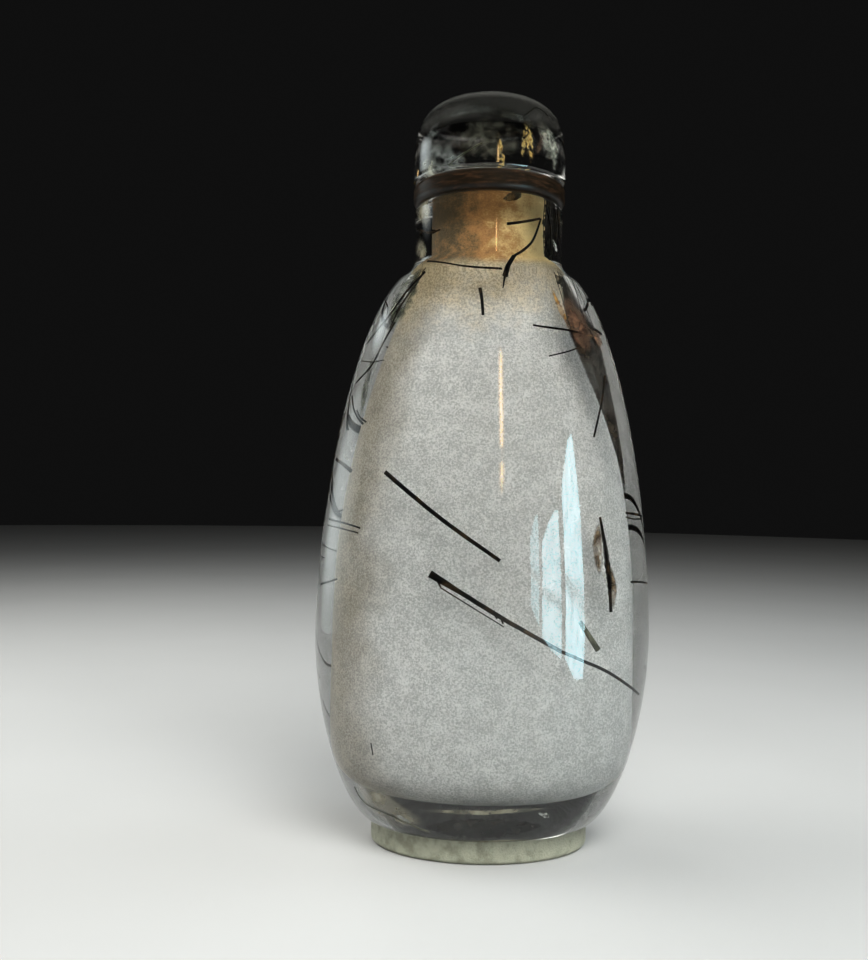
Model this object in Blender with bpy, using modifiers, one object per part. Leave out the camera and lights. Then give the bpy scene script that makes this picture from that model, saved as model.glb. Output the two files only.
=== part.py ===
"""Snuff bottle of rock crystal with its stopper.

A flattened pear-shaped flask on an oval foot ring, hollowed through a narrow mouth. The stopper is a
domed crystal cap on a dark collar, held in the neck by a cork. Metres, +Z up: the foot stands on
Z = 0, the flask's axis is the Z axis and its broad face looks along -Y.
"""

import math

import bmesh
import bpy

MM = 0.001

# Foot: an oval ring, hollowed underneath
FOOT_WIDTH = 19.2 * MM
FOOT_DEPTH = 13.4 * MM
FOOT_HEIGHT = 2.0 * MM
FOOT_RIM = 2.2 * MM
FOOT_ROUNDING = 0.45 * MM
RECESS_DEPTH = 1.0 * MM

# Body: oval in section, widest low down, and round where it meets the neck
BODY_WIDTH = 29.8 * MM
BODY_DEPTH = 20.4 * MM
BELLY_HEIGHT = 18.5 * MM
SHOULDER_HEIGHT = 50.6 * MM
SHOULDER_RISE, SHOULDER_FALL = 1.7, 0.56
FLANK_RISE, FLANK_FALL = 1.8, 0.61

# Neck and lip
NECK_DIAMETER = 13.2 * MM
NECK_LENGTH = 5.9 * MM
NECK_FILLET = 0.8 * MM
LIP_ROUNDING = 0.7 * MM
BORE_DIAMETER = 6.4 * MM
BORE_LENGTH = 4.7 * MM
BORE_EDGE = 0.3 * MM

# Hollow: ground out through the bore, so its shoulders are thick; its floor is flat with round corners
SIDE_WALL = 3.85 * MM
FACE_WALL = 3.6 * MM
FLOOR_THICKNESS = 4.0 * MM
HOLLOW_RISE, HOLLOW_FALL = 2.15, 1.0
FLOOR_RISE, FLOOR_FALL = 10.0, 0.38

# Stopper: cap, collar and cork; a rounded edge takes at most EDGE_SHARE of its wall
GLUE_GAP = 0.15 * MM
COLLAR_DIAMETER = 13.5 * MM
COLLAR_THICKNESS = 1.55 * MM
COLLAR_EDGE = 0.55 * MM
EDGE_SHARE = 0.4
CAP_DIAMETER = 13.5 * MM
CAP_HEIGHT = 7.65 * MM
CAP_BASE_ROUNDING = 0.35 * MM
CAP_RISE, CAP_FALL = 4.0, 1.0 / 3.0
CORK_CLEARANCE = 0.15 * MM
CORK_TAPER = 0.2 * MM
CORK_LENGTH = 5.4 * MM

# How finely the round stretches are faceted, and how they are joined and shaded
BOTTLE_SIDES = 56
STOPPER_SIDES = 44
BODY_STEPS = 13
HOLLOW_STEPS = 11
CAP_STEPS = 8
FILLET_STEPS = 4
CORNER_STEPS = 3
MERGE_DISTANCE = 0.01 * MM
SHARP_DEGREES = 35

LIP_HEIGHT = SHOULDER_HEIGHT + NECK_LENGTH
NECK_RADIUS = NECK_DIAMETER / 2
BORE_RADIUS = BORE_DIAMETER / 2
FLOOR_HEIGHT = RECESS_DEPTH + FLOOR_THICKNESS
THROAT_HEIGHT = LIP_HEIGHT - BORE_LENGTH
COLLAR_BASE = LIP_HEIGHT + GLUE_GAP
CAP_BASE = COLLAR_BASE + COLLAR_THICKNESS + GLUE_GAP


def fullness(share, rise, fall):
    """Width of a swelling outline: 1 at its widest point, 0 at its end, full in between."""
    return max(0.0, 1.0 - share**rise) ** fall


def shares(steps):
    """Heights of even angles on a quarter round: they crowd where an outline turns in."""
    return [math.sin(math.pi / 2 * i / steps) for i in range(steps + 1)]


def corner(centre, size, start, end):
    """Points of a rounded edge, as (distance out, height), between two angles in degrees."""
    turns = [start + (end - start) * i / CORNER_STEPS for i in range(CORNER_STEPS + 1)]
    return [
        (centre[0] + size * math.cos(math.radians(turn)),
         centre[1] + size * math.sin(math.radians(turn)))
        for turn in turns
    ]


def bend(first, middle, last):
    """Points of a smooth bend that leaves first towards middle and arrives at last."""
    points = []
    for i in range(FILLET_STEPS + 1):
        t = i / FILLET_STEPS
        weights = ((1 - t) ** 2, 2 * t * (1 - t), t**2)
        points.append(tuple(
            sum(w * p[axis] for w, p in zip(weights, (first, middle, last))) for axis in (0, 1)
        ))
    return points


def foot_stations():
    """The underside and the ring, from the edge of the recess to where the body begins."""
    def oval(out, height):
        return FOOT_WIDTH / 2 + out, FOOT_DEPTH / 2 + out, height

    recess = corner((-FOOT_RIM - RECESS_DEPTH, 0.0), RECESS_DEPTH, 90, 0)
    edge = corner((-FOOT_ROUNDING, FOOT_ROUNDING), FOOT_ROUNDING, -90, 0)
    return [oval(out, height) for out, height in recess + edge + [(0.0, FOOT_HEIGHT)]]


def body_station(height):
    """Half width and half depth of the body's outer face at a height."""
    if height < BELLY_HEIGHT:
        end, half_ends = FOOT_HEIGHT, (FOOT_WIDTH / 2, FOOT_DEPTH / 2)
        rise, fall = FLANK_RISE, FLANK_FALL
    else:
        end, half_ends = SHOULDER_HEIGHT, (NECK_RADIUS, NECK_RADIUS)
        rise, fall = SHOULDER_RISE, SHOULDER_FALL
    full = fullness(min(1.0, (height - BELLY_HEIGHT) / (end - BELLY_HEIGHT)), rise, fall)
    half_sizes = (BODY_WIDTH / 2, BODY_DEPTH / 2)
    return tuple(tip + (half - tip) * full for tip, half in zip(half_ends, half_sizes))


def body_stations():
    """The swelling body, from just above the foot up to the bend into the neck."""
    low = [BELLY_HEIGHT + (FOOT_HEIGHT - BELLY_HEIGHT) * s for s in shares(BODY_STEPS)]
    high = [BELLY_HEIGHT + (SHOULDER_HEIGHT - BELLY_HEIGHT) * s for s in shares(BODY_STEPS)]
    top = SHOULDER_HEIGHT - NECK_FILLET
    clear_of_top = [h for h in high[1:] if h < top - NECK_FILLET / 2]
    heights = low[-2::-1] + clear_of_top + [top]
    return [(*body_station(h), h) for h in heights]


def neck_stations():
    """The bend into the neck, the neck and its rounded lip."""
    low, high = SHOULDER_HEIGHT - NECK_FILLET, SHOULDER_HEIGHT + NECK_FILLET
    half_width, half_depth = body_station(low)
    across = bend((half_width, low), (NECK_RADIUS, SHOULDER_HEIGHT), (NECK_RADIUS, high))
    along = bend((half_depth, low), (NECK_RADIUS, SHOULDER_HEIGHT), (NECK_RADIUS, high))
    fillet = [(x, y, height) for (x, height), (y, _) in zip(across[1:], along[1:])]
    centre = (NECK_RADIUS - LIP_ROUNDING, LIP_HEIGHT - LIP_ROUNDING)
    return fillet + [(r, r, h) for r, h in corner(centre, LIP_ROUNDING, 0, 90)]


def hollow_station(height):
    """Half width and half depth of the hollow at a height."""
    half_sizes = (BODY_WIDTH / 2 - SIDE_WALL, BODY_DEPTH / 2 - FACE_WALL)
    if height < BELLY_HEIGHT:
        share = (BELLY_HEIGHT - height) / (BELLY_HEIGHT - FLOOR_HEIGHT)
        full = fullness(share, FLOOR_RISE, FLOOR_FALL)
        return tuple(half * full for half in half_sizes)
    share = min(1.0, (height - BELLY_HEIGHT) / (THROAT_HEIGHT - BELLY_HEIGHT))
    full = fullness(share, HOLLOW_RISE, HOLLOW_FALL)
    return tuple(BORE_RADIUS + (half - BORE_RADIUS) * full for half in half_sizes)


def hollow_stations():
    """The bore's edge, the bore and the hollow, from the lip down to its floor."""
    centre = (BORE_RADIUS + BORE_EDGE, LIP_HEIGHT - BORE_EDGE)
    bore = [(r, r, h) for r, h in corner(centre, BORE_EDGE, 90, 180)]
    high = [BELLY_HEIGHT + (THROAT_HEIGHT - BELLY_HEIGHT) * s for s in shares(HOLLOW_STEPS)]
    low = [BELLY_HEIGHT + (FLOOR_HEIGHT - BELLY_HEIGHT) * s for s in shares(HOLLOW_STEPS)]
    return bore + [(*hollow_station(h), h) for h in high[::-1] + low[1:-1]]


def loft(name, stations, first_height, last_height, material):
    """A closed skin over oval rings, each (half width, half depth, height).

    Each end is closed by a fan from a point on the axis at its own height.
    """
    mesh = bmesh.new()
    rings = []
    for half_width, half_depth, height in stations:
        ring = []
        for i in range(BOTTLE_SIDES):
            turn = 2 * math.pi * i / BOTTLE_SIDES
            ring.append(mesh.verts.new((
                half_width * math.cos(turn), half_depth * math.sin(turn), height,
            )))
        rings.append(ring)
    for first, second in zip(rings, rings[1:]):
        for i in range(BOTTLE_SIDES):
            mesh.faces.new((first[i - 1], first[i], second[i], second[i - 1]))
    for ring, height in ((rings[0], first_height), (rings[-1], last_height)):
        middle = mesh.verts.new((0.0, 0.0, height))
        for i in range(BOTTLE_SIDES):
            mesh.faces.new((middle, ring[i - 1], ring[i]))
    bmesh.ops.recalc_face_normals(mesh, faces=mesh.faces)
    data = bpy.data.meshes.new(name)
    mesh.to_mesh(data)
    mesh.free()
    return dress(bpy.data.objects.new(name, data), material)


def turned(name, profile, material):
    """A turned piece: the profile, (distance out, height) from top to bottom, spun round the axis."""
    data = bpy.data.meshes.new(name)
    edges = [(i, i + 1) for i in range(len(profile) - 1)]
    data.from_pydata([(out, 0.0, height) for out, height in profile], edges, [])
    piece = bpy.data.objects.new(name, data)
    screw = piece.modifiers.new("Screw", "SCREW")
    screw.steps = screw.render_steps = STOPPER_SIDES
    screw.use_merge_vertices = True
    screw.merge_threshold = MERGE_DISTANCE
    screw.use_smooth_shade = True
    return dress(piece, material)


def material_of(name, colour, roughness, transmission=0.0, ior=1.5):
    """A Principled material with plain values."""
    material = bpy.data.materials.new(name)
    material.use_nodes = True
    shader = material.node_tree.nodes["Principled BSDF"]
    shader.inputs["Base Color"].default_value = (*colour, 1.0)
    shader.inputs["Roughness"].default_value = roughness
    shader.inputs["Metallic"].default_value = 0.0
    shader.inputs["Transmission Weight"].default_value = transmission
    shader.inputs["IOR"].default_value = ior
    material.diffuse_color = (*colour, 1.0)
    return material


def dress(piece, material):
    """Gives a piece its material and its place in the collection, with round faces shaded smooth."""
    piece.data.materials.append(material)
    if piece.data.polygons:
        piece.data.shade_smooth()
        piece.data.set_sharp_from_angle(angle=math.radians(SHARP_DEGREES))
    bpy.data.collections["snuff_bottle"].objects.link(piece)
    return piece


def make_flask(crystal):
    """The crystal flask: one stone, foot, body, neck, bore and hollow."""
    stations = foot_stations() + body_stations() + neck_stations() + hollow_stations()
    return loft("crystal_flask", stations, RECESS_DEPTH, FLOOR_HEIGHT, crystal)


def make_collar(horn):
    """The dark collar between the cap and the lip, its edge rounded above and below."""
    edge = min(COLLAR_EDGE, EDGE_SHARE * COLLAR_THICKNESS)
    out = COLLAR_DIAMETER / 2 - edge
    top = COLLAR_BASE + COLLAR_THICKNESS
    upper = corner((out, top - edge), edge, 90, 0)
    lower = corner((out, COLLAR_BASE + edge), edge, 0, -90)
    profile = [(0.0, top)] + upper + lower + [(0.0, COLLAR_BASE)]
    return turned("stopper_collar", profile, horn)


def make_cap(crystal):
    """The domed crystal cap, glued on the collar."""
    radius = CAP_DIAMETER / 2
    wall = CAP_BASE + CAP_BASE_ROUNDING
    dome = CAP_HEIGHT - CAP_BASE_ROUNDING
    profile = [(radius * fullness(s, CAP_RISE, CAP_FALL), wall + dome * s)
               for s in reversed(shares(CAP_STEPS))]
    base = corner((radius - CAP_BASE_ROUNDING, wall), CAP_BASE_ROUNDING, 0, -90)
    return turned("stopper_cap", profile + base[1:] + [(0.0, CAP_BASE)], crystal)


def make_cork(cork):
    """The tapered cork under the collar, which holds the stopper in the bore."""
    top = COLLAR_BASE - GLUE_GAP
    radius = BORE_RADIUS - CORK_CLEARANCE
    bottom = top - CORK_LENGTH
    profile = [(0.0, top), (radius, top), (radius - CORK_TAPER, bottom), (0.0, bottom)]
    return turned("stopper_cork", profile, cork)


def clear_scene():
    """Empties the startup scene and makes the collection that holds the bottle."""
    for piece in list(bpy.data.objects):
        bpy.data.objects.remove(piece, do_unlink=True)
    bottle = bpy.data.collections.new("snuff_bottle")
    bpy.context.scene.collection.children.link(bottle)


def main():
    clear_scene()
    crystal = material_of("rock_crystal", (0.86, 0.86, 0.83), roughness=0.03,
                          transmission=1.0, ior=1.544)
    horn = material_of("dark_horn", (0.035, 0.02, 0.014), roughness=0.25)
    cork = material_of("cork", (0.5, 0.31, 0.14), roughness=0.85)
    make_flask(crystal)
    make_collar(horn)
    make_cap(crystal)
    make_cork(cork)


main()
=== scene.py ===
"""Looks of the rock crystal snuff bottle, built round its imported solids. Metres, +Z up."""
import math
import random

import bmesh
import bpy
from mathutils import Matrix, Vector


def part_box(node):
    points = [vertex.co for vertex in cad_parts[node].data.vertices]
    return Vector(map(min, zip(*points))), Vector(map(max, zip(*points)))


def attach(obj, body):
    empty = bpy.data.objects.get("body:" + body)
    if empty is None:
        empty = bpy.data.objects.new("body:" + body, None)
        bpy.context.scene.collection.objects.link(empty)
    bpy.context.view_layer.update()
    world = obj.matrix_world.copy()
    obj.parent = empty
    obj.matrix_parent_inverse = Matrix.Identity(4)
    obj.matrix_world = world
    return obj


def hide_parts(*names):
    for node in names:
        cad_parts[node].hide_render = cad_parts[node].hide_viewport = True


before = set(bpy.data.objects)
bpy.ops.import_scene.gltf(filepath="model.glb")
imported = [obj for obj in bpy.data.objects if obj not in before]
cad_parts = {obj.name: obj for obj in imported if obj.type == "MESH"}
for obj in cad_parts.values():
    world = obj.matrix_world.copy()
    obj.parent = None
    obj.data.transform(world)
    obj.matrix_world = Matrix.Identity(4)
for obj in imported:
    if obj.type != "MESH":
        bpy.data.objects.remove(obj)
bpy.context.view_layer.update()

# The eye. The photograph is a close view, square on to the broad face and a little to its left, so the
# collar's arcs bow up and the foot's bow down. The bottle leans by one degree in the picture.
MM = 0.001
PHOTO_WIDTH = 868
PHOTO_HEIGHT = 960
FOCAL_PIXELS = 1036
SENSOR = 36 * MM
EYE = Vector((-4.5, -93.0, 32.1)) * MM
LEAN = math.radians(1.0)
NEAREST_SEEN = 5 * MM

eye_turn = Matrix.Rotation(math.radians(90), 4, "X") @ Matrix.Rotation(LEAN, 4, "Z")
lens = bpy.data.cameras.new("eye")
lens.sensor_width = SENSOR / MM
lens.lens = SENSOR / MM * FOCAL_PIXELS / PHOTO_HEIGHT
lens.clip_start = NEAREST_SEEN
camera = bpy.data.objects.new("eye", lens)
camera.matrix_world = Matrix.Translation(EYE) @ eye_turn
bpy.context.scene.collection.objects.link(camera)
bpy.context.scene.camera = camera


def sight(pixel):
    """The direction in which the eye sees a pixel of the photograph."""
    across = (pixel[0] - PHOTO_WIDTH / 2) / FOCAL_PIXELS
    up = (PHOTO_HEIGHT / 2 - pixel[1]) / FOCAL_PIXELS
    return (eye_turn.to_3x3() @ Vector((across, up, -1.0))).normalized()


# The studio: a pale matt table with nothing behind it, three panes of a cool window close on the right, a
# narrow warm lamp, two cool sheens on the left, and soft panels in front, at both sides and behind on the
# left. The panels don't show in the polish, and the panes and the sheens show there alone.
TABLE_RADIUS = 600 * MM
TABLE_SIDES = 96
TABLE_BLOT = 30 * MM
TABLE_DARK = (0.39, 0.388, 0.383)
TABLE_LIGHT = (0.425, 0.423, 0.418)
ROOM_LIGHT = 0.005
AIM = Vector((0.0, 0.0, 30.0)) * MM
WINDOW_DISTANCE = 70 * MM
SHEEN_DISTANCE = 140 * MM


class Wire:
    """A value in a node tree. A sum written on it adds Math nodes, and make() adds any other node."""

    def __init__(self, tree, socket=None):
        self.tree = tree
        self.socket = socket

    def make(self, kind, settings=None, sockets=None, out=0):
        """Adds a node: its settings first, then the values or wires of its sockets."""
        node = self.tree.nodes.new(kind)
        for name, value in (settings or {}).items():
            setattr(node, name, value)
        for name, value in (sockets or {}).items():
            socket = node.inputs[name]
            if isinstance(value, Wire):
                self.tree.links.new(value.socket, socket)
            elif socket.type == "RGBA":
                socket.default_value = (*value, 1.0)
            else:
                socket.default_value = value
        return Wire(self.tree, node.outputs[out] if node.outputs else None)

    def port(self, name):
        """Another output of the node that this value comes from."""
        return Wire(self.tree, self.socket.node.outputs[name])

    def math(self, operation, *terms):
        return self.make("ShaderNodeMath", {"operation": operation}, dict(enumerate(terms)))

    def __add__(self, other):
        return self.math("ADD", self, other)

    def __sub__(self, other):
        return self.math("SUBTRACT", self, other)

    def __rsub__(self, other):
        return self.math("SUBTRACT", other, self)

    def __mul__(self, other):
        return self.math("MULTIPLY", self, other)

    def __truediv__(self, other):
        return self.math("DIVIDE", self, other)

    def step(self, low, high):
        """0 below low, 1 above high and smooth between, or the other way round if low is higher."""
        return self.make("ShaderNodeMapRange", {"interpolation_type": "SMOOTHSTEP"},
                         {"Value": self, "From Min": low, "From Max": high})

    def noise(self, size, detail=2.0, roughness=0.5, stretch=(1.0, 1.0, 1.0)):
        """Cloudy noise from 0 to 1 at the place that this wire holds, its blots about size across."""
        place = self.make("ShaderNodeMapping", None, {"Vector": self, "Scale": stretch})
        return self.make("ShaderNodeTexNoise", None, {
            "Vector": place, "Scale": 1 / size, "Detail": detail, "Roughness": roughness,
        })

    def blend(self, low, high):
        """The colour low where this wire is 0 and high where it is 1."""
        return self.make("ShaderNodeMix", {"data_type": "RGBA"}, {0: self, 6: low, 7: high}, out=2)

    def relief(self, depth):
        """A normal that is roughened as if this wire, 0 to 1, raised the surface by depth."""
        return self.make("ShaderNodeBump", None, {"Height": self, "Distance": depth, "Strength": 1.0})


def finish(name, constants):
    """A Principled material: its constant values, and the place on the object to paint it by."""
    material = bpy.data.materials.new(name)
    material.use_nodes = True
    shader = material.node_tree.nodes["Principled BSDF"]
    for socket, value in constants.items():
        shader.inputs[socket].default_value = (*value, 1.0) if socket == "Base Color" else value
    place = Wire(material.node_tree).make("ShaderNodeTexCoord", out="Object")
    return material, shader, place


def paint(shader, **layers):
    """Links wires to the shader's sockets, each named with _ for a space."""
    for name, wire in layers.items():
        wire.tree.links.new(wire.socket, shader.inputs[name.replace("_", " ")])


def flat_light(name, place, size, colour, brightness, pattern):
    """A flat light of that brightness per area, turned to the bottle. Its pattern takes a spot on it."""
    light = bpy.data.lights.new(name, "AREA")
    light.shape = "RECTANGLE"
    light.size, light.size_y = size
    light.color = colour
    light.energy = brightness * math.pi * size[0] * size[1]
    light.use_nodes = True
    spot = Wire(light.node_tree).make("ShaderNodeNewGeometry", out="Parametric")
    strength = light.node_tree.nodes["Emission"].inputs["Strength"]
    light.node_tree.links.new(pattern(spot).socket, strength)
    lamp = bpy.data.objects.new(name, light)
    lamp.location = place
    lamp.rotation_euler = (AIM - place).to_track_quat("-Z", "Y").to_euler()
    bpy.context.scene.collection.objects.link(lamp)
    return lamp


def in_polish_alone(light):
    """Hides a light from everything but the polish that mirrors it."""
    light.visible_diffuse = False
    light.visible_transmission = False


def round_fade(spot):
    """A round light, soft from its edge nearly to its middle."""
    middle = spot.make("ShaderNodeVectorMath", {"operation": "DISTANCE"},
                       {0: spot, 1: (0.5, 0.5, 0.0)}, out="Value")
    return middle.step(0.5, 0.05)


def pane_of_glass(spot):
    """A window pane: pointed at its top and its foot, with a bar across and the trees dim outside."""
    across = spot.make("ShaderNodeSeparateXYZ", None, {0: spot})
    up = across.port("Y")
    edge = across.math("MINIMUM", across.math("SQRT", (1.0 - up) * 5.0), up * 5.0)
    lit = (edge + across - 1.0).step(0.0, 0.12)
    bar = across.math("ABSOLUTE", up + across * 0.08 - 0.50)
    trees = spot.noise(0.20, 4.0, 0.7, stretch=(1.0, 3.5, 1.0)).step(0.38, 0.56) * 0.5 + 0.5
    return lit * trees * (bar.step(0.015, 0.05) * 0.6 + 0.4)


def glowing_strip(spot):
    """An upright strip with a bright core and a dim gap low down."""
    across = spot.make("ShaderNodeSeparateXYZ", None, {0: spot})
    middle = across.math("ABSOLUTE", across - 0.5)
    ends = across.math("ABSOLUTE", across.port("Y") - 0.5).step(0.5, 0.38)
    gap = across.math("ABSOLUTE", across.port("Y") - 0.25).step(0.03, 0.07) * 0.95 + 0.05
    return (middle.step(0.16, 0.06) + middle.step(0.5, 0.1) * 0.35) * ends * gap


def polar(angle, distance, height):
    """A place at that angle in degrees to the right of the eye's side, seen from the bottle."""
    turn = math.radians(angle)
    return Vector((distance * math.sin(turn), -distance * math.cos(turn), height))


table_paint, shader, place = finish("table_paint", {"Roughness": 0.75})
paint(shader, Base_Color=place.noise(TABLE_BLOT).blend(TABLE_DARK, TABLE_LIGHT))
bpy.ops.mesh.primitive_circle_add(vertices=TABLE_SIDES, radius=TABLE_RADIUS, fill_type="NGON")
table = bpy.context.object
table.name = "table"
table.data.materials.append(table_paint)

room = bpy.data.worlds.new("dim_room")
room.use_nodes = True
room.node_tree.nodes["Background"].inputs["Color"].default_value = (ROOM_LIGHT,) * 3 + (1.0,)
bpy.context.scene.world = room
bpy.context.scene.view_settings.view_transform = "Standard"

DAYLIGHT = (0.84, 0.94, 1.0)
SKYLIGHT = (0.56, 0.90, 1.0)
SHEEN_LIGHT = (0.90, 1.0, 1.0)
LAMPLIGHT = (1.0, 0.66, 0.30)
PANEL_LIGHT = (0.985, 1.0, 0.975)
for name, angle, height, size, brightness in (
    ("window_tall_pane", 47.6, 22.6 * MM, (13.9 * MM, 57 * MM), 12.5),
    ("window_low_pane", 34.4, 20.6 * MM, (12.3 * MM, 30 * MM), 10.0),
    ("window_side_pane", 25.5, 24 * MM, (5.5 * MM, 21 * MM), 6.0),
):
    place = polar(angle, WINDOW_DISTANCE, height)
    in_polish_alone(flat_light(name, place, size, SKYLIGHT, brightness, pane_of_glass))
for name, place, size, colour, brightness in (
    ("front_panel", polar(20, 150 * MM, 190 * MM), (280 * MM, 200 * MM), PANEL_LIGHT, 18.5),
    ("left_panel", polar(-98, 140 * MM, 165 * MM), (220 * MM, 200 * MM), PANEL_LIGHT, 10.0),
    ("right_panel", polar(98, 140 * MM, 180 * MM), (200 * MM, 200 * MM), DAYLIGHT, 4.5),
    ("back_left_panel", polar(-150, 150 * MM, 200 * MM), (180 * MM, 160 * MM), PANEL_LIGHT, 6.0),
):
    panel = flat_light(name, place, size, colour, brightness, round_fade)
    panel.visible_glossy = False
for name, angle, height, size, brightness in (
    ("low_left_sheen", -108, 36 * MM, (170 * MM, 110 * MM), 2.4),
    ("high_left_sheen", -116, 108 * MM, (110 * MM, 30 * MM), 3.4),
):
    place = polar(angle, SHEEN_DISTANCE, height)
    in_polish_alone(flat_light(name, place, size, SHEEN_LIGHT, brightness, round_fade))
LAMP_PLACE = polar(9.2, 300 * MM, 112 * MM)
LAMP_SIZE = (26 * MM, 104 * MM)
LAMP_BRIGHTNESS = 12
flat_light("lamp", LAMP_PLACE, LAMP_SIZE, LAMPLIGHT, LAMP_BRIGHTNESS, glowing_strip)

# The flask: one stone of rock crystal, cut and polished outside, oval in section, on a low foot ring.
# It is ground out through the bore, which leaves a frosted hollow, thick shoulders and a solid base.
FOOT_WIDTH = 19.2 * MM
FOOT_DEPTH = 13.4 * MM
FOOT_HEIGHT = 2.0 * MM
FOOT_RIM = 2.2 * MM
FOOT_ROUNDING = 0.45 * MM
RECESS_DEPTH = 1.0 * MM
BELLY_HEIGHT = 18.5 * MM
SHOULDER_HEIGHT = 50.6 * MM
SHOULDER_RISE, SHOULDER_FALL = 1.7, 0.56
FLANK_RISE, FLANK_FALL = 1.8, 0.61
NECK_RADIUS = 6.6 * MM
NECK_FILLET = 0.8 * MM
LIP_ROUNDING = 0.7 * MM
BORE_RADIUS = 3.2 * MM
BORE_LENGTH = 4.7 * MM
BORE_EDGE = 0.3 * MM
SIDE_WALL = 3.85 * MM
FACE_WALL = 3.6 * MM
FLOOR_HEIGHT = 5.0 * MM
HOLLOW_RISE, HOLLOW_FALL = 2.15, 1.0
FLOOR_RISE, FLOOR_FALL = 10.0, 0.38
STONE_IOR = 1.544
FLASK_SIDES = 192
BODY_STEPS = 56
HOLLOW_STEPS = 56
CORNER_STEPS = 6
SEAM = 0.002 * MM
GROUND_LEAST = 0.75
TAN_HEIGHTS = (43 * MM, 50 * MM)
AMBER_HEIGHTS = (49.5 * MM, 51.0 * MM)
FOOT_TINT_FADE = 0.3 * MM
FROST = (0.56, 0.57, 0.56), (1.0, 1.0, 1.0)
LEFT_SHADE_TINTS = (0.24, 0.21, 0.16), (0.50, 0.45, 0.35)
TAN = (0.38, 0.28, 0.13), (0.76, 0.60, 0.34)
BROWN = (0.12, 0.08, 0.03)
AMBER = (0.56, 0.26, 0.07)
PALE_GOLD = (1.0, 0.76, 0.34)
FOOT_TINTS = (0.24, 0.24, 0.17), (0.46, 0.47, 0.36)
CLEAR_LOW = (0.96, 0.96, 0.93)
CLEAR_HIGH = (0.96, 0.95, 0.91)
CLEAR_HEIGHTS = (10 * MM, 50 * MM)

flask_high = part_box("crystal_flask")[1]
HALF_WIDTH = flask_high.x
HALF_DEPTH = flask_high.y
LIP_HEIGHT = flask_high.z
THROAT_HEIGHT = LIP_HEIGHT - BORE_LENGTH


def fullness(share, rise, fall):
    """Width of a swelling outline: 1 at its widest point, 0 at its end, full in between."""
    return max(0.0, 1.0 - share**rise) ** fall


def shares(steps):
    """Heights of even angles on a quarter round: they crowd where an outline turns in."""
    return [math.sin(math.pi / 2 * i / steps) for i in range(steps + 1)]


def corner(centre, size, start, end):
    """Points of a rounded edge, as (distance out, height), between two angles in degrees."""
    turns = [math.radians(start + (end - start) * i / CORNER_STEPS) for i in range(CORNER_STEPS + 1)]
    return [(centre[0] + size * math.cos(turn), centre[1] + size * math.sin(turn)) for turn in turns]


def bend(first, middle, last, steps):
    """Points of a smooth bend that leaves first towards middle and arrives at last."""
    points = []
    for i in range(steps + 1):
        t = i / steps
        points.append(tuple((1 - t)**2 * a + 2 * t * (1 - t) * b + t**2 * c
                            for a, b, c in zip(first, middle, last)))
    return points


def body_half_sizes(height):
    """Half width and half depth of the body's outer face at a height."""
    if height < BELLY_HEIGHT:
        end, half_ends = FOOT_HEIGHT, (FOOT_WIDTH / 2, FOOT_DEPTH / 2)
        rise, fall = FLANK_RISE, FLANK_FALL
    else:
        end, half_ends = SHOULDER_HEIGHT, (NECK_RADIUS, NECK_RADIUS)
        rise, fall = SHOULDER_RISE, SHOULDER_FALL
    full = fullness(min(1.0, (height - BELLY_HEIGHT) / (end - BELLY_HEIGHT)), rise, fall)
    return [tip + (half - tip) * full for tip, half in zip(half_ends, (HALF_WIDTH, HALF_DEPTH))]


def hollow_half_sizes(height):
    """Half width and half depth of the hollow at a height."""
    half_sizes = (HALF_WIDTH - SIDE_WALL, HALF_DEPTH - FACE_WALL)
    if height < BELLY_HEIGHT:
        share = (BELLY_HEIGHT - height) / (BELLY_HEIGHT - FLOOR_HEIGHT)
        return [half * fullness(share, FLOOR_RISE, FLOOR_FALL) for half in half_sizes]
    share = min(1.0, (height - BELLY_HEIGHT) / (THROAT_HEIGHT - BELLY_HEIGHT))
    full = fullness(share, HOLLOW_RISE, HOLLOW_FALL)
    return [BORE_RADIUS + (half - BORE_RADIUS) * full for half in half_sizes]


def foot_ring(out, height, ground):
    """A ring of the foot, that far out from its outline."""
    return (FOOT_WIDTH / 2 + out, FOOT_DEPTH / 2 + out, height, ground)


def outer_rings():
    """The polished skin and the ground underside: recess, foot, body, neck and lip."""
    rings = [(0.0, 0.0, RECESS_DEPTH)]
    recess = corner((-FOOT_RIM - RECESS_DEPTH, 0.0), RECESS_DEPTH, 90, 0)
    rings += [foot_ring(out, height, 1.0) for out, height in recess]
    rings.append(foot_ring(-FOOT_ROUNDING, 0.0, 1.0))
    edge = corner((-FOOT_ROUNDING, FOOT_ROUNDING), FOOT_ROUNDING, -90, 0)
    rings += [foot_ring(out, height, 1.0) for out, height in edge + [(0.0, FOOT_HEIGHT)]]
    low = [BELLY_HEIGHT - (BELLY_HEIGHT - FOOT_HEIGHT) * s for s in shares(BODY_STEPS)]
    high = [BELLY_HEIGHT + (SHOULDER_HEIGHT - BELLY_HEIGHT) * s for s in shares(BODY_STEPS)]
    fillet_low = SHOULDER_HEIGHT - NECK_FILLET
    heights = low[-2::-1] + [h for h in high[1:] if h < fillet_low - NECK_FILLET / 4]
    rings += [(*body_half_sizes(h), h) for h in heights]
    rings += bend((*body_half_sizes(fillet_low), fillet_low),
                  (NECK_RADIUS, NECK_RADIUS, SHOULDER_HEIGHT),
                  (NECK_RADIUS, NECK_RADIUS, SHOULDER_HEIGHT + NECK_FILLET), CORNER_STEPS)
    lip = corner((NECK_RADIUS - LIP_ROUNDING, LIP_HEIGHT - LIP_ROUNDING), LIP_ROUNDING, 0, 90)
    return rings + [(out, out, height) for out, height in lip]


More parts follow.
